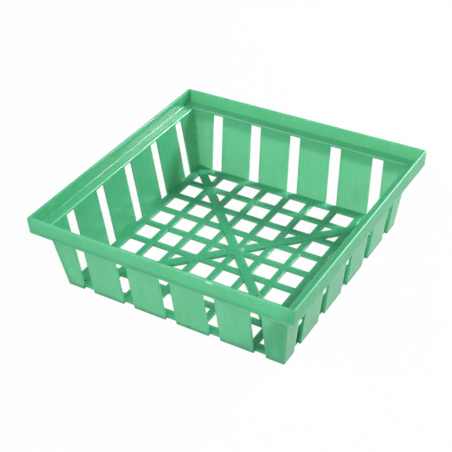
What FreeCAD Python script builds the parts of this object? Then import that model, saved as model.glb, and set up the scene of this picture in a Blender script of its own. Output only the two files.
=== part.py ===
import FreeCAD, Part
import os

# Square bulb planting basket, one injection moulding in polypropylene. Lengths are millimetres.
# The origin is on the ground under the centre of the basket, X and Y run along its sides and Z is up.

# Rim: an upright band round the mouth, a little narrower at its lower edge.
basket_height = 79.0
rim_width = 262.0
rim_draft = 0.5
rim_wall = 2.8
rim_lip = 0.8
rim_corner_radius = 1.2
rim_inner_radius = 2.4
rim_edge_radius = 0.7

# Ledge: a level step inside the rim that carries it on top of the walls.
ledge_depth = 12.6
ledge_thickness = 2.4
ledge_edge_radius = 0.9
ledge_cove_radius = 1.8

# Walls: four sides that lean outwards, slotted into upright slats that stand on the ground.
rim_overhang = 11.5
wall_lean = 8.1
wall_thickness = 2.4
wall_corner_radius = 1.4
wall_inner_radius = 1.0
slots_per_side = 5
slot_width = 11.5
corner_slat_width = 17.4

# Floor: a thin plate held a little above the feet, pierced by a grid of square holes.
floor_lift = 0.8
floor_thickness = 2.4
cells_per_side = 8
bar_width = 6.8
floor_edge_band = 8.8
bar_edge_ease = 0.6

# Two diagonal ribs cross the grid and meet at a round hub with the mark of the moulding gate.
diagonal_width = 8.8
diagonal_rise = 0.8
hub_radius = 8.2
hub_rise = 1.3
hub_edge_radius = 0.4
gate_radius = 1.7
gate_rise = 0.6

# Heights and widths that follow from the sizes above.
ledge_top = basket_height - ledge_depth
ledge_underside = ledge_top - ledge_thickness
rim_underside = ledge_underside - rim_lip
rim_lower_width = rim_width - 2 * rim_draft
rim_inner_width = rim_lower_width - 2 * rim_wall
wall_top_width = rim_width - 2 * rim_overhang
foot_width = wall_top_width - 2 * wall_lean
slot_spacing = (foot_width - 2 * corner_slat_width - slot_width) / (slots_per_side - 1)
floor_top = floor_lift + floor_thickness
rib_top = floor_top + diagonal_rise
hub_top = floor_top + hub_rise
up = FreeCAD.Vector(0, 0, 1)


def rounded_square(width, radius, z):
    """Closed wire of a square with round corners, centred on the Z axis at height z."""
    half = width / 2
    flat = half - radius
    diagonal = flat + radius * 0.5 ** 0.5
    edges = []
    for quarter in range(4):
        side = Part.makeLine(FreeCAD.Vector(half, -flat, z), FreeCAD.Vector(half, flat, z))
        corner = Part.Arc(FreeCAD.Vector(half, flat, z), FreeCAD.Vector(diagonal, diagonal, z),
                          FreeCAD.Vector(flat, half, z)).toShape()
        for edge in (side, corner):
            edge.rotate(FreeCAD.Vector(0, 0, 0), up, 90 * quarter)
            edges.append(edge)
    return Part.Wire(edges)


def tapered_block(low_width, low_z, high_width, high_z, radius):
    """Solid between two rounded squares of different width, as a draughted mould core is."""
    low = rounded_square(low_width, radius, low_z)
    high = rounded_square(high_width, radius, high_z)
    return Part.makeLoft([low, high], True, True)


def wall_width_at(z):
    """Outer width across the tapered walls at height z."""
    taper = (wall_top_width - foot_width) / ledge_underside
    return foot_width + taper * z


def wall_cavity(low_z, high_z):
    """The tapered space between the walls from low_z to high_z."""
    return tapered_block(wall_width_at(low_z) - 2 * wall_thickness, low_z,
                         wall_width_at(high_z) - 2 * wall_thickness, high_z, wall_inner_radius)


def cell_spacing():
    """Distance between grid holes that leaves the plain band at the edge of the floor."""
    floor_width = wall_width_at(floor_top) - 2 * wall_thickness
    return (floor_width - 2 * floor_edge_band + bar_width) / cells_per_side


def level_loop(shape, z, half_width):
    """Edges of a shape that lie level at height z round the square of that half width."""
    loop = []
    for edge in shape.Edges:
        box = edge.BoundBox
        level = abs(box.ZMin - z) < 0.01 and abs(box.ZMax - z) < 0.01
        reach = max(abs(box.XMin), abs(box.XMax), abs(box.YMin), abs(box.YMax))
        if level and abs(reach - half_width) < 0.01:
            loop.append(edge)
    return loop


def rim_and_ledge():
    """Rim band, ledge and upper wall shell, with the cove and the rounded edges of the moulding."""
    band = tapered_block(rim_lower_width, rim_underside, rim_width, basket_height, rim_corner_radius)
    recess = tapered_block(rim_inner_width, ledge_top, rim_width - 2 * rim_wall, basket_height,
                           rim_inner_radius)
    channel = tapered_block(rim_inner_width, rim_underside, rim_inner_width, ledge_underside,
                            rim_inner_radius)
    mouth = wall_cavity(ledge_underside, ledge_top)
    shell = band.cut(recess).cut(channel).cut(mouth)
    cove = min(ledge_cove_radius, 0.9 * rim_inner_radius)
    shell = shell.makeFillet(cove, level_loop(shell, ledge_top, rim_inner_width / 2))
    ledge_edge = min(ledge_edge_radius, 0.45 * ledge_thickness)
    mouth_half_width = wall_width_at(ledge_top) / 2 - wall_thickness
    shell = shell.makeFillet(ledge_edge, level_loop(shell, ledge_top, mouth_half_width))
    rim_edge = min(rim_edge_radius, 0.45 * rim_wall)
    for half_width in (rim_width / 2, rim_width / 2 - rim_wall):
        shell = shell.makeFillet(rim_edge, level_loop(shell, basket_height, half_width))
    return shell


def slot_cutters():
    """Boxes for the slots of all four walls, open at the foot and closed by the ledge."""
    reach = wall_top_width / 2 + wall_thickness
    inside = foot_width / 2 - 2 * wall_thickness
    first = -slot_spacing * (slots_per_side - 1) / 2
    cutters = []
    for side in range(4):
        for number in range(slots_per_side):
            corner = FreeCAD.Vector(first + number * slot_spacing - slot_width / 2, inside, -1)
            slot = Part.makeBox(slot_width, reach - inside, ledge_underside + 1, corner)
            slot.rotate(FreeCAD.Vector(0, 0, 0), up, 90 * side)
            cutters.append(slot)
    return cutters


def slatted_walls():
    """The four tapered walls as a ring of slats, open below for the floor."""
    outside = tapered_block(foot_width, 0, wall_top_width, ledge_underside, wall_corner_radius)
    walls = outside.cut(wall_cavity(0, ledge_underside))
    return walls.cut(slot_cutters())


def square(width, z):
    """Closed wire of a square with sharp corners, centred on the Z axis at height z."""
    half = width / 2
    corners = [FreeCAD.Vector(-half, -half, z), FreeCAD.Vector(half, -half, z),
               FreeCAD.Vector(half, half, z), FreeCAD.Vector(-half, half, z)]
    return Part.makePolygon(corners + corners[:1])


def hole_cutter(width):
    """Cutter for one grid hole: a square prism whose mouth opens out to ease the top of the bars."""
    ease = min(bar_edge_ease, 0.45 * floor_thickness)
    foot = square(width, floor_lift)
    throat = square(width, floor_top - ease)
    mouth = square(width + 2 * ease, floor_top)
    return Part.makeLoft([foot, throat, mouth], True, True)


def grid_floor():
    """Floor plate that fills the walls at its level, pierced by square holes."""
    plate = wall_cavity(floor_lift, floor_top)
    spacing = cell_spacing()
    first = -spacing * (cells_per_side - 1) / 2
    hole = hole_cutter(spacing - bar_width)
    holes = []
    for column in range(cells_per_side):
        for row in range(cells_per_side):
            place = FreeCAD.Vector(first + column * spacing, first + row * spacing, 0)
            holes.append(hole.translated(place))
    return plate.cut(holes)


def diagonal_ribs():
    """Two ribs from corner to corner, as deep as the floor and raised above it."""
    length = foot_width * 2 ** 0.5
    ribs = []
    for angle in (45, -45):
        rib = Part.makeBox(length, diagonal_width, rib_top - floor_lift,
                           FreeCAD.Vector(-length / 2, -diagonal_width / 2, floor_lift))
        rib.rotate(FreeCAD.Vector(0, 0, 0), up, angle)
        ribs.append(rib.common(wall_cavity(floor_lift, rib_top)))
    return ribs


def centre_hub():
    """Round hub where the ribs cross, with the small nub left by the moulding gate."""
    centre = FreeCAD.Vector(0, 0, floor_lift)
    hub = Part.makeCylinder(hub_radius, hub_top - floor_lift, centre)
    top_edge = [edge for edge in hub.Edges if abs(edge.BoundBox.ZMin - hub_top) < 0.01]
    hub = hub.makeFillet(min(hub_edge_radius, 0.45 * hub_rise), top_edge)
    gate = Part.makeCone(gate_radius, gate_radius / 2, gate_rise, FreeCAD.Vector(0, 0, hub_top))
    return [hub, gate]


basket = rim_and_ledge().fuse([slatted_walls(), grid_floor()] + diagonal_ribs() + centre_hub())
basket = basket.removeSplitter()
os.makedirs("parts", exist_ok=True)
basket.exportStep("parts/basket.step")
print("basket", len(basket.Solids), "solid", round(basket.Volume / 1000, 1), "cm3", basket.BoundBox)
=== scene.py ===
import bpy
import numpy as np
from math import radians
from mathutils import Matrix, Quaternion, Vector


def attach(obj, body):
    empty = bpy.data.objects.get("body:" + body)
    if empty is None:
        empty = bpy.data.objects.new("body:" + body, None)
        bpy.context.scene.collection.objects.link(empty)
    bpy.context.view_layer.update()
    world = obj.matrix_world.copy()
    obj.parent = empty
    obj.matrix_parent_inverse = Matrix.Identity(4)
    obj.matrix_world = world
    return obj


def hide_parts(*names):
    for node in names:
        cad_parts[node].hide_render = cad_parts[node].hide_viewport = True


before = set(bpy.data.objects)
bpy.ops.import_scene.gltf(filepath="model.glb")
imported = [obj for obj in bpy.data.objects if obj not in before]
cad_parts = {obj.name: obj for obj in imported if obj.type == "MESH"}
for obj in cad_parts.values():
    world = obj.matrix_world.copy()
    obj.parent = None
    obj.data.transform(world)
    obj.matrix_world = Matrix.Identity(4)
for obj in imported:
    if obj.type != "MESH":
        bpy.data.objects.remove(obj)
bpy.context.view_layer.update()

scene = bpy.context.scene
scene.view_settings.view_transform = "Standard"


# The camera stands about a metre away, above the rim and to the right of the front side, so the front
# edge falls to the right. It holds a short telephoto lens and is rolled a little clockwise.
camera_place = Vector((0.41185, -0.66191, 0.59689))
camera_aim = Vector((-0.00841, -0.00246, 0.03000))
camera_roll = radians(-2.61)
lens = bpy.data.cameras.new("view")
lens.sensor_width = 36.0
lens.lens = 83.27
camera = bpy.data.objects.new("view", lens)
camera.rotation_mode = "QUATERNION"
camera.location = camera_place
towards = (camera_aim - camera_place).to_track_quat("-Z", "Y")
camera.rotation_quaternion = towards @ Quaternion((0, 0, 1), camera_roll)
scene.collection.objects.link(camera)
scene.camera = camera


# The moulding: a square basket with an upright rim, a level ledge inside it, four slatted walls that
# lean outwards and a floor of crossing bars. It is one shot of polypropylene, so the whole basket is
# one closed skin. Sizes are millimetres and the widths are halves, taken at the foot of the walls.
millimetre = 0.001
basket_height = 79.0
wall_inside, wall_outside = 109.0, 111.4
wall_lean = 8.1
wall_top = 64.0
slot_half, slot_pitch, last_slot_edge = 5.75, 44.125, 94.0
floor_underside, floor_top = 0.8, 3.2
hole_half, hole_pitch, last_hole_edge = 9.6, 26.0, 100.6
ledge_top = 66.4
rim_inside, rim_outside = 120.1, 122.9
rim_underside = 63.2
rim_draft = 0.5

# The holes stay square: the plain band of the floor, between these widths, takes up the walls' lean.
lean_starts, lean_is_full = 101.0, 107.8

# The upright corners: their radius at each width, the widths of the lines that divide their arcs, and
# how far the straight side before each arc moves with it.
corner_radii = {105.8: 0, wall_inside: 3.2, wall_outside: 1.4, rim_inside: 2.4, rim_outside: 1.8}
corner_lines = [105.8, 106.5, 107.2, 107.8, 108.4, wall_inside, 110.6, wall_outside,
                117.7, rim_inside, 121.1, rim_outside]
arc_run_in = 4.0

# The rounded edges: width, level, which way the strips beside the edge lie (1 is outwards or upwards,
# -1 inwards or downwards), and radius. A round wider than small_round is divided once more, and slack
# makes up for the last digits that sums lose.
rounded_edges = {"cove": (rim_inside, ledge_top, -1, 1, 0.8),
                 "ledge": (wall_inside, ledge_top, 1, -1, 1.3),
                 "rim": (rim_outside, basket_height, -1, -1, 1.5)}
small_round = 1.0
slack = 0.001


def level_lines():
    """The lines that the basket is laid out on: half of those across it, and all of its levels.

    There is a line at every edge of a slot, hole, wall and rim, and a few more in each upright corner.
    Beside each rounded edge the radius is divided evenly, both across and in height."""
    holes = np.arange(hole_pitch / 2, last_hole_edge, hole_pitch)[:, None] + [-hole_half, hole_half]
    slots = np.arange(0, last_slot_edge, slot_pitch)[:, None] + [-slot_half, slot_half]
    across = [holes.ravel(), slots.ravel()[1:], corner_lines]
    levels = [[0, floor_underside, floor_top, rim_underside, wall_top, ledge_top, basket_height]]
    for edge, level, outward, upward, radius in rounded_edges.values():
        strips = 3 if radius > small_round else 2
        steps = np.linspace(0, radius, strips + 1)[1:]
        across.append(edge + outward * steps)
        levels.append(level + upward * steps)
    return [np.unique(np.concatenate(lines).round(3)) for lines in (across, levels)]


def filled_cells(across, levels):
    """True for each cell of the layout that holds plastic, from where its middle lies.

    The bigger of the two distances from the centre says which ring of the basket a cell is in, and
    the smaller one where along its side it is, which the slots follow."""
    middle = [(line[1:] + line[:-1]) / 2 for line in (across, across, levels)]
    x, y, z = np.meshgrid(*middle, indexing="ij")
    ring = np.maximum(abs(x), abs(y))
    along = np.minimum(abs(x), abs(y))
    off_slot = abs((along + slot_pitch / 2) % slot_pitch - slot_pitch / 2)
    slot = (off_slot < slot_half) & (along < last_slot_edge)
    wall = (ring > wall_inside) & (ring < wall_outside) & (z < wall_top) & ~slot
    off_hole = np.maximum(abs(x % hole_pitch - hole_pitch / 2), abs(y % hole_pitch - hole_pitch / 2))
    hole = (off_hole < hole_half) & (ring < last_hole_edge)
    bars = (ring < wall_inside) & (z > floor_underside) & (z < floor_top) & ~hole
    ledge = (ring > wall_inside) & (z > wall_top) & (z < ledge_top)
    rim = (ring > rim_inside) & (z > rim_underside)
    return wall | bars | ledge | rim


def skin_of(filled):
    """Faces of the filled cells, as rows of four point numbers that go round facing outwards.

    Along each axis in turn there is a face wherever a filled cell and an empty one meet."""
    numbers = np.arange(np.prod(np.add(filled.shape, 1))).reshape(np.add(filled.shape, 1))
    faces = []
    for axis in range(3):
        edge_on = [(1, 1) if direction == axis else (0, 0) for direction in range(3)]
        change = np.diff(np.pad(filled, edge_on).astype(int), axis=axis)
        change = np.moveaxis(change, axis, 0)
        grid = np.moveaxis(numbers, axis, 0)
        loop = np.stack([grid[:, :-1, :-1], grid[:, 1:, :-1], grid[:, 1:, 1:], grid[:, :-1, 1:]], axis=-1)
        for side in (-1, 1):
            ring = loop[change == side]
            faces.append(ring if (side == -1) != (axis == 1) else ring[:, ::-1])
    return np.concatenate(faces)


def lean_share(width):
    """Share of the walls' lean at a width: none over the holes, then evenly more, all at the walls."""
    return np.interp(width, [lean_starts, lean_is_full], [0, 1])


def moulded(x, y, z):
    """Place of each layout point on the finished basket.

    Each rounded edge winds the two strips beside it round a quarter circle. The walls then lean out in
    step with height, and the rim by its draught. The end of each side of a square ring turns into an
    arc with that ring's radius. The stretch before the arc, as long as the run-in, is drawn along with
    it, from not at all to fully, so that the skin never folds over itself."""
    ring = np.maximum(abs(x), abs(y))
    along = np.minimum(abs(x), abs(y))
    reach, height = ring.copy(), z.copy()
    for edge, level, outward, upward, radius in rounded_edges.values():
        flat, upright = (ring - edge) * outward / radius, (z - level) * upward / radius
        near = (np.minimum(flat, upright) > -slack) & (np.maximum(flat, upright) < 1 + slack)
        turn = (1 - flat + upright) * np.pi / 4
        reach = np.where(near, edge + outward * radius * (1 - np.sin(turn)), reach)
        height = np.where(near, level + upward * radius * (1 - np.cos(turn)), height)
    lean = wall_lean * np.minimum(z, wall_top) / wall_top
    reach += lean * lean_share(ring)
    straight = along + lean * lean_share(along)
    rim_depth = np.interp(ring, [rim_inside, rim_outside],
                          [basket_height - ledge_top, basket_height - rim_underside])
    draught = rim_draft * np.clip((basket_height - z) / rim_depth, 0, 1)
    reach -= draught * np.interp(ring, [wall_outside, rim_inside], [0, 1])
    radius = np.interp(ring, list(corner_radii), list(corner_radii.values()))
    arc_start = ring - radius
    pull = reach - ring - lean * lean_share(arc_start)
    straight += pull * np.clip((along - arc_start) / arc_run_in + 1, 0, 1)
    share = np.clip((along - ring + radius) / np.maximum(radius, slack), 0, 1)
    turn = share * np.pi / 4
    straight = np.where(share > 0, reach - radius * (1 - np.sin(turn)), straight)
    reach = reach - radius * (1 - np.cos(turn))
    x_is_reach = abs(x) >= abs(y)
    x_place = np.sign(x) * np.where(x_is_reach, reach, straight)
    y_place = np.sign(y) * np.where(x_is_reach, straight, reach)
    return np.stack([x_place, y_place, height], axis=-1)


def mesh_piece(name, points, faces):
    """An object with that mesh, its points given in millimetres."""
    mesh = bpy.data.meshes.new(name)
    mesh.from_pydata((np.asarray(points) * millimetre).tolist(), [], [list(face) for face in faces])
    piece = bpy.data.objects.new(name, mesh)
    scene.collection.objects.link(piece)
    return piece


half_lines, levels = level_lines()
across = np.concatenate([-half_lines[::-1], half_lines])
used, corners = np.unique(skin_of(filled_cells(across, levels)), return_inverse=True)
layout = np.stack(np.meshgrid(across, across, levels, indexing="ij"), axis=-1).reshape(-1, 3)[used]
basket = mesh_piece("basket_moulding", moulded(*layout.T), corners.reshape(-1, 4).tolist())


# Every sharp edge of the mould leaves a small round on the plastic: a larger one along the tops of the
# floor bars, and a smaller one everywhere else, such as the slots, the feet and the rim's inner top
# edge. They are cut before the ribs join the floor. Points within a hair, in metres, count as level.
bar_round, other_round = 0.6, 0.3
sharp_angle = radians(35)
hair = 0.00001


def of_each(elements, name, parts, kind=float):
    """One property of every element of a mesh, a row for each."""
    values = np.empty(len(elements) * parts, kind)
    elements.foreach_get(name, values)
    return values.reshape(-1, parts)


def edge_rounds(mesh):
    """Share of the largest round for every edge, from the angle between its two faces.

    The dot product of their normals says whether an edge is sharp. It is a bar's top edge where both
    its ends lie level with the floor's top and its faces turn away from each other, so that the middle
    of one lies behind the other."""
    corner_edge = of_each(mesh.loops, "edge_index", 1, int)[:, 0]
    totals = of_each(mesh.polygons, "loop_total", 1, int)[:, 0]
    corner_face = np.repeat(np.arange(len(totals)), totals)
    one, other = corner_face[np.argsort(corner_edge, kind="stable")].reshape(-1, 2).T
    normal = of_each(mesh.polygons, "normal", 3)
    centre = of_each(mesh.polygons, "center", 3)
    sharp = (normal[one] * normal[other]).sum(axis=1) < np.cos(sharp_angle)
    convex = ((centre[other] - centre[one]) * normal[one]).sum(axis=1) < 0
    height = of_each(mesh.vertices, "co", 3)[of_each(mesh.edges, "vertices", 2, int), 2]
    bar_top = convex & (abs(height - floor_top * millimetre) < hair).all(axis=1)
    return np.where(sharp, np.where(bar_top, 1.0, other_round / bar_round), 0.0)


def settled(piece):
    """Turns a piece's modifiers into its own mesh."""
    bpy.context.view_layer.update()
    made = bpy.data.meshes.new_from_object(piece.evaluated_get(bpy.context.evaluated_depsgraph_get()))
    piece.modifiers.clear()
    piece.data = made


weights = basket.data.attributes.new("bevel_weight_edge", "FLOAT", "EDGE")
weights.data.foreach_set("value", edge_rounds(basket.data).astype(np.float32))
rounding = basket.modifiers.new("rounded edges", "BEVEL")
rounding.limit_method = "WEIGHT"
rounding.width = bar_round * millimetre
rounding.segments = 2
rounding.use_clamp_overlap = False
settled(basket)


# Two diagonal ribs and the round hub where they cross. They stand a little above the bars and are part
# of the same shot, so they are joined to the skin. The hub keeps the small nub of the moulding gate.
rib_half_width, rib_tip = 4.4, 155.7
rib_underside, rib_top = 0.85, 4.0
rib_round = 0.35
hub_radius, hub_round = 8.2, 0.8
hub_underside, hub_top = 0.9, 4.5
hub_steps = 40
gate_radius, gate_tip_radius, gate_top = 1.7, 0.85, 5.1
shade_break = radians(50)


def quarter_round(radius, steps):
    """How far a rounded edge has drawn in, and how far below the top it is, from its foot to its top.

    They are the radius less its cosine part and the radius less its sine part, at even steps."""
    turn = np.linspace(0, np.pi / 2, steps + 1)
    return radius * np.c_[1 - np.cos(turn), 1 - np.sin(turn)]


def rib_plan(inset):
    """Outline of a rib seen from above: a long bar with pointed ends, drawn in by that much."""
    half, tip = rib_half_width - inset, rib_tip - inset
    return np.array([(-tip, 0), (-tip + half, -half), (tip - half, -half),
                     (tip, 0), (tip - half, half), (-tip + half, half)])


def turned(profile, steps):
    """Points and faces of a profile (radius, height) carried round the upright axis in even steps."""
    radius, height = np.array(profile).T
    angle = np.arange(steps)[:, None] * 2 * np.pi / steps
    points = np.stack([radius * np.cos(angle), radius * np.sin(angle), height + 0 * angle], axis=-1)
    row = np.arange(len(profile) - 1)
    here = np.arange(steps)[:, None] * len(profile) + row
    there = (np.arange(steps)[:, None] + 1) % steps * len(profile) + row
    quads = np.stack([here, there, there + 1, here + 1], axis=-1)
    return points.reshape(-1, 3), quads.reshape(-1, 4)


def joined(piece, others):
    """Makes one closed skin round all that a piece and the others fill."""
    for other in others:
        join = piece.modifiers.new("join", "BOOLEAN")
        join.operation = "UNION"
        join.solver = "EXACT"
        join.object = other
    settled(piece)


# A rib is its outline at its underside and at each step of its rounded top edge, and a face closes it
# below and above. The two ribs are turned an eighth of a turn either way.
rib_corners = 6
outlines = [(0, rib_underside), *([0, rib_top] + [1, -1] * quarter_round(rib_round, 2))]
corner = np.arange(rib_corners)
start = rib_corners * np.arange(len(outlines) - 1)[:, None]
here, there = start + corner, start + (corner + 1) % rib_corners
sides = np.stack([here, there, there + rib_corners, here + rib_corners], axis=-1).reshape(-1, 4)
ends = [corner[::-1], here[-1] + rib_corners]
added = []
for number, side in enumerate((1, -1)):
    turn = np.array([[1, side], [-side, 1]]) / 2 ** 0.5
    points = [np.c_[rib_plan(inset) @ turn, np.full(rib_corners, height)] for inset, height in outlines]
    added.append(mesh_piece(f"rib_{number}", np.concatenate(points), [*sides, *ends]))

# The hub's round is kept to hundredths of a millimetre, and a weld closes its two poles.
hub_edge = [hub_radius, hub_top] - quarter_round(hub_round, 4)
hub_profile = [(0, hub_underside), (hub_radius, hub_underside), *hub_edge.round(2),
               (gate_radius, hub_top), (gate_tip_radius, gate_top), (0, gate_top)]
hub = mesh_piece("hub", *turned(hub_profile, hub_steps))
hub.modifiers.new("weld", "WELD").merge_threshold = hair
added.append(hub)
joined(added[0], added[1:])
joined(basket, added[:1])
for piece in added:
    bpy.data.objects.remove(piece)
basket.data.shade_smooth()
basket.data.set_sharp_from_angle(angle=shade_break)
shading = basket.modifiers.new("flat faces stay flat", "WEIGHTED_NORMAL")
shading.keep_sharp = True
shading.weight = 80
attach(basket, "root")
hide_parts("basket")


# Moulded polypropylene, coloured through. It has a satin gleam inside the basket and on the slats, a
# duller one on the rim's outside, and it is milky: light that falls on one side of a thin wall comes
# out softly on the other.
def linear(code):
    """Linear colour with full alpha from an sRGB hex code."""
    level = np.array([int(code[k:k + 2], 16) for k in (1, 3, 5)]) / 255
    level = np.where(level <= 0.04045, level / 12.92, ((level + 0.055) / 1.055) ** 2.4)
    return (*level.tolist(), 1.0)


def node(tree, kind, settings=None, inputs=None):
    """Adds one node with its own settings. A named input takes a value, a socket or a node's first output."""
    made = tree.nodes.new(kind)
    for name, value in (settings or {}).items():
        setattr(made, name, value)
    for name, value in (inputs or {}).items():
        if isinstance(value, bpy.types.Node):
            value = value.outputs[0]
        if isinstance(value, bpy.types.NodeSocket):
            tree.links.new(value, made.inputs[name])
        else:
            made.inputs[name].default_value = value
    return made


plastic = bpy.data.materials.new("moulded_polypropylene")
plastic.use_nodes = True
tree = plastic.node_tree
tree.nodes.clear()
place = node(tree, "ShaderNodeTexCoord").outputs["Object"]

# A Mix node has its two colours on inputs 6 and 7, and the mixed one on output 2.
colour_a, colour_b, mixed = 6, 7, 2

# The melt runs out from the gate and up the walls, which leaves faint streaks 5 mm wide and 40 mm long
# in the colour, and broader clouds of 35 mm where the pigment is denser.
streak_width, streak_squeeze, cloud_width = 5 * millimetre, 0.12, 35 * millimetre
thin_green, dense_green = "#49b683", "#42ae7a"
stretched = node(tree, "ShaderNodeMapping", inputs={"Vector": place, "Scale": (1.0, 1.0, streak_squeeze)})
streaks = node(tree, "ShaderNodeTexNoise",
               inputs={"Vector": stretched, "Scale": 1 / streak_width, "Detail": 2.0})
clouds = node(tree, "ShaderNodeTexNoise",
              inputs={"Vector": place, "Scale": 1 / cloud_width, "Detail": 1.0})
blend = node(tree, "ShaderNodeMath", {"operation": "ADD"}, {0: streaks, 1: clouds})
dense = node(tree, "ShaderNodeMapRange", inputs={"Value": blend, "From Min": 0.7, "From Max": 1.3})
green = node(tree, "ShaderNodeMix", {"data_type": "RGBA"},
             {0: dense, colour_a: linear(thin_green), colour_b: linear(dense_green)})

# The mould's surface: a spark-worn grain, drawn 1.5 mm wide so that it still shows, on walls that
# shrank a little unevenly over some 45 mm as they cooled. The grain breaks the gleam up softly.
grain_width, grain_depth = 1.5 * millimetre, 0.005 * millimetre
shrinkage_width, shrinkage_depth = 45 * millimetre, 0.09 * millimetre
smoothest, roughest = 0.14, 0.18
grain = node(tree, "ShaderNodeTexNoise", inputs={"Vector": place, "Scale": 1 / grain_width, "Detail": 2.0})
shrinkage = node(tree, "ShaderNodeTexNoise",
                 inputs={"Vector": place, "Scale": 1 / shrinkage_width, "Detail": 0.0})
waves = node(tree, "ShaderNodeBump", inputs={"Height": shrinkage, "Distance": shrinkage_depth})
worn = node(tree, "ShaderNodeBump", inputs={"Height": grain, "Distance": grain_depth, "Normal": waves})
gloss = node(tree, "ShaderNodeMapRange", inputs={"Value": grain, "From Min": 0.3, "From Max": 0.7,
                                                 "To Min": smoothest, "To Max": roughest})

# The cutter that made the ledge of the mould went round it in rings, which stand on the plastic as
# fine lines along each side. They are drawn 2.2 mm apart so that they can be seen.
line_spacing, line_depth, ledge_margin = 2.2 * millimetre, 0.04 * millimetre, 0.02 * millimetre
axes = node(tree, "ShaderNodeSeparateXYZ", inputs={0: place})
sideways = node(tree, "ShaderNodeMath", {"operation": "ABSOLUTE"}, {0: axes.outputs["X"]})
lengthways = node(tree, "ShaderNodeMath", {"operation": "ABSOLUTE"}, {0: axes.outputs["Y"]})
ring = node(tree, "ShaderNodeMath", {"operation": "MAXIMUM"}, {0: sideways, 1: lengthways})
phase = node(tree, "ShaderNodeMath", {"operation": "MULTIPLY"}, {0: ring, 1: 2 * np.pi / line_spacing})
wave = node(tree, "ShaderNodeMath", {"operation": "SINE"}, {0: phase})
on_ledge = node(tree, "ShaderNodeMath", {"operation": "COMPARE"},
                {0: axes.outputs["Z"], 1: ledge_top * millimetre, 2: ledge_margin})
lines = node(tree, "ShaderNodeMath", {"operation": "MULTIPLY"}, {0: wave, 1: on_ledge})
lined = node(tree, "ShaderNodeBump", inputs={"Height": lines, "Distance": line_depth, "Normal": worn})

# Painted highlights on two raised ejector-pin bumps low on the left wall, painted shade in a notch at
# the foot of a front slat, a painted glint on a slight bulge of the front rim's outer top edge, pale flow
# marks in the back left corner, a pale flow mark on the hub beside a painted highlight along its right
# edge, a painted sheen along the left rim's top, and the ringed print of an ejector pin on the front right
# rib. Each is a soft spot with a full core. A row gives its radius, its squeeze (0.2 along an axis draws
# it out to five times as long), its colour, its strength and its places, in metres.
core_share = 0.5
marks_and_painted_light = {
    # Painted highlights on the two raised ejector-pin bumps.
    "pip_highlight": (0.0012, (1, 1, 1), "#8fd9b0", 0.5, [(-0.1103, 0.0283, 0.0106), (-0.1101, -0.0180, 0.0088)]),
    # Painted shade in a notch at the foot of a front slat.
    "notch_shade": (0.0016, (1, 1, 1), "#2f8a58", 0.7, [(0.0190, -0.1119, 0.0038)]),
    # A painted glint on a bulge of the front rim's outer top edge.
    "rim_edge_glint": (0.0010, (0.2, 1, 1), "#b4f0cf", 0.8, [(0.0550, -0.1308, 0.0787)]),
    "smear": (0.0022, (1, 1, 1), "#7fd3a5", 0.35, [(-0.1152, 0.1125, 0.0500), (-0.1143, 0.1120, 0.0420),
                                                   (-0.1134, 0.1110, 0.0350)]),
    # A pale flow mark on the hub, and a painted highlight along the hub's right edge.
    "blush_and_hub_highlight": (0.0019, (1, 1, 1), "#a9e6c8", 0.4, [(0.0053, 0.0046, 0.0044), (0.0062, 0.0028, 0.0044),
                                                  (0.0070, 0.0010, 0.0044), (0.0042, 0.0016, 0.0045)]),
    # A painted sheen along the left rim's top.
    "rim_top_sheen": (0.0030, (1, 0.03, 1), "#b9efd4", 0.19, [(-0.1283, 0.0450, 0.0782)]),
    "pin ring": (0.0044, (1, 1, 1), "#7fd0a8", 0.5, [(0.0508, -0.0484, 0.0040)]),
    "pin": (0.0030, (1, 1, 1), "#2a8a5a", 0.75, [(0.0504, -0.0488, 0.0040)])}
colour = green.outputs[mixed]
for size, squeeze, code, strength, spots in marks_and_painted_light.values():
    for spot in spots:
        apart = node(tree, "ShaderNodeVectorMath", {"operation": "SUBTRACT"}, {0: place, 1: spot})
        drawn = node(tree, "ShaderNodeVectorMath", {"operation": "MULTIPLY"}, {0: apart, 1: squeeze})
        off_spot = node(tree, "ShaderNodeVectorMath", {"operation": "LENGTH"}, {0: drawn})
        inside = node(tree, "ShaderNodeMapRange", {"interpolation_type": "SMOOTHSTEP"},
                      {"Value": off_spot.outputs["Value"], "From Min": size,
                       "From Max": size * core_share, "To Max": strength})
        colour = node(tree, "ShaderNodeMix", {"data_type": "RGBA"},
                      {0: inside, colour_a: colour, colour_b: linear(code)}).outputs[mixed]

# A painted highlight along the inner edge of the ledge, where the key lamp gleams on its round: a pale
# line about 1 mm wide, whose middle lies a little outside the wall's inner face and below the ledge's top.
highlight_outside, highlight_below = 0.4, 0.3
highlight_radius, highlight_core = 0.9 * millimetre, 0.3 * millimetre
highlight_green, highlight_strength = "#a4e8c4", 0.3
to_edge = node(tree, "ShaderNodeMath", {"operation": "SUBTRACT"},
               {0: ring, 1: (wall_inside + wall_lean + highlight_outside) * millimetre})
to_top = node(tree, "ShaderNodeMath", {"operation": "SUBTRACT"},
              {0: axes.outputs["Z"], 1: (ledge_top - highlight_below) * millimetre})
offset = node(tree, "ShaderNodeCombineXYZ", inputs={0: to_edge, 1: to_top})
off_edge = node(tree, "ShaderNodeVectorMath", {"operation": "LENGTH"}, {0: offset})
ledge_edge_highlight = node(tree, "ShaderNodeMapRange", {"interpolation_type": "SMOOTHSTEP"},
              {"Value": off_edge.outputs["Value"], "From Min": highlight_radius, "From Max": highlight_core,
               "To Max": highlight_strength})
colour = node(tree, "ShaderNodeMix", {"data_type": "RGBA"},
              {0: ledge_edge_highlight, colour_a: colour, colour_b: linear(highlight_green)}).outputs[mixed]

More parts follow.
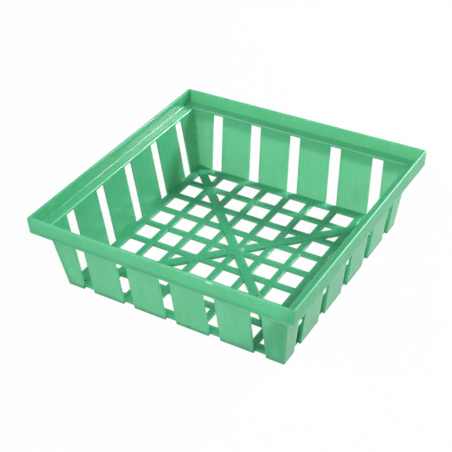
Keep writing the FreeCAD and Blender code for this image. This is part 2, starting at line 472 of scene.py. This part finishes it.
# The rim's outside was moulded against a coarser steel than the inside, so its gleam is broader and
# duller. The change lies across the flat of the rim's top.
fine_steel_ends, coarse_steel_starts = 128.5 * millimetre, 129.5 * millimetre
coarse_steel_roughness = 0.16
outside = node(tree, "ShaderNodeMapRange",
               inputs={"Value": ring, "From Min": fine_steel_ends, "From Max": coarse_steel_starts,
                       "To Max": coarse_steel_roughness})
roughness = node(tree, "ShaderNodeMath", {"operation": "ADD"}, {0: gloss, 1: outside})

# Light goes some 17 mm into the milky plastic, green a little further than red and blue.
shader = node(tree, "ShaderNodeBsdfPrincipled", inputs={
    "Base Color": colour, "Roughness": roughness, "IOR": 1.49, "Normal": lined,
    "Subsurface Weight": 0.6, "Subsurface Scale": 17 * millimetre,
    "Subsurface Radius": (0.9, 1.0, 0.88)})
node(tree, "ShaderNodeOutputMaterial", inputs={"Surface": shader})
basket.data.materials.clear()
basket.data.materials.append(plastic)


# The floor of the studio: a pale paper sheet that runs on behind the basket. It shows as white, and a
# faint shadow of the basket stays on it, because a small share of what the camera sees is lit paper.
floor_half = 6.0
floor_corners = floor_half * np.array([(-1, -1, 0), (1, -1, 0), (1, 1, 0), (-1, 1, 0)])
paper_grey = "#e6e6e6"
white_to_camera, white_in_gleam = 0.96, 0.5
floor = mesh_piece("studio_floor", floor_corners / millimetre, [(0, 1, 2, 3)])
sheet = bpy.data.materials.new("white_paper")
sheet.use_nodes = True
tree = sheet.node_tree
tree.nodes.clear()
ray = node(tree, "ShaderNodeLightPath")
paper = node(tree, "ShaderNodeBsdfDiffuse", inputs={"Color": linear(paper_grey)})
glow = node(tree, "ShaderNodeEmission", inputs={"Strength": 1.0})
mirrored = node(tree, "ShaderNodeMath", {"operation": "MAXIMUM"},
                {0: ray.outputs["Is Glossy Ray"], 1: ray.outputs["Is Transmission Ray"]})
seen = node(tree, "ShaderNodeMath", {"operation": "MULTIPLY"},
            {0: ray.outputs["Is Camera Ray"], 1: white_to_camera})
gleam = node(tree, "ShaderNodeMath", {"operation": "MULTIPLY"}, {0: mirrored, 1: white_in_gleam})
share = node(tree, "ShaderNodeMath", {"operation": "MAXIMUM"}, {0: seen, 1: gleam})
mix = node(tree, "ShaderNodeMixShader", inputs={0: share, 1: paper, 2: glow})
node(tree, "ShaderNodeOutputMaterial", inputs={"Surface": mix})
floor.data.materials.append(sheet)


# The room: white to the eye, grey where the plastic mirrors it, and otherwise so dark that the light on
# the basket comes from the soft boxes.
room_light, room_in_gleam = 0.05, 0.32
room = bpy.data.worlds.new("white_room")
scene.world = room
room.use_nodes = True
tree = room.node_tree
tree.nodes.clear()
ray = node(tree, "ShaderNodeLightPath")
dim = node(tree, "ShaderNodeBackground", inputs={"Color": (1, 1, 1, 1), "Strength": room_light})
white = node(tree, "ShaderNodeBackground", inputs={"Color": (1, 1, 1, 1), "Strength": 1.0})
gleam = node(tree, "ShaderNodeMath", {"operation": "MULTIPLY"},
             {0: ray.outputs["Is Glossy Ray"], 1: room_in_gleam})
seen = node(tree, "ShaderNodeMath", {"operation": "MAXIMUM"}, {0: ray.outputs["Is Camera Ray"], 1: gleam})
mix = node(tree, "ShaderNodeMixShader", inputs={0: seen, 1: dim, 2: white})
node(tree, "ShaderNodeOutputWorld", inputs={"Surface": mix})


# The lights: soft boxes two metres from the basket and turned to it. A small strong one behind to the
# right shines through the walls, a low wide one behind gleams on the ledge, and wide ones in front and
# to the right fill the shadows. Each has direction and height in degrees, width in metres, and watts.
lamp_distance = 2.0
soft_boxes = {"key": (60, 34, 0.35, 38),
              "back_low": (75, 15, 1.0, 6.5),
              "front_left": (225, 40, 1.0, 12),
              "front": (270, 40, 1.0, 14.2),
              "front_right": (315, 40, 1.0, 3),
              "right": (0, 40, 1.0, 1.5)}
for name, (heading, height, width, power) in soft_boxes.items():
    lamp = bpy.data.lights.new(name, "AREA")
    lamp.size = width
    lamp.energy = power
    holder = bpy.data.objects.new(name, lamp)
    turn, tilt = radians(heading), radians(height)
    direction = Vector((np.cos(tilt) * np.cos(turn), np.cos(tilt) * np.sin(turn), np.sin(tilt)))
    holder.location = lamp_distance * direction
    holder.rotation_mode = "QUATERNION"
    holder.rotation_quaternion = (-holder.location).to_track_quat("-Z", "Y")
    scene.collection.objects.link(holder)
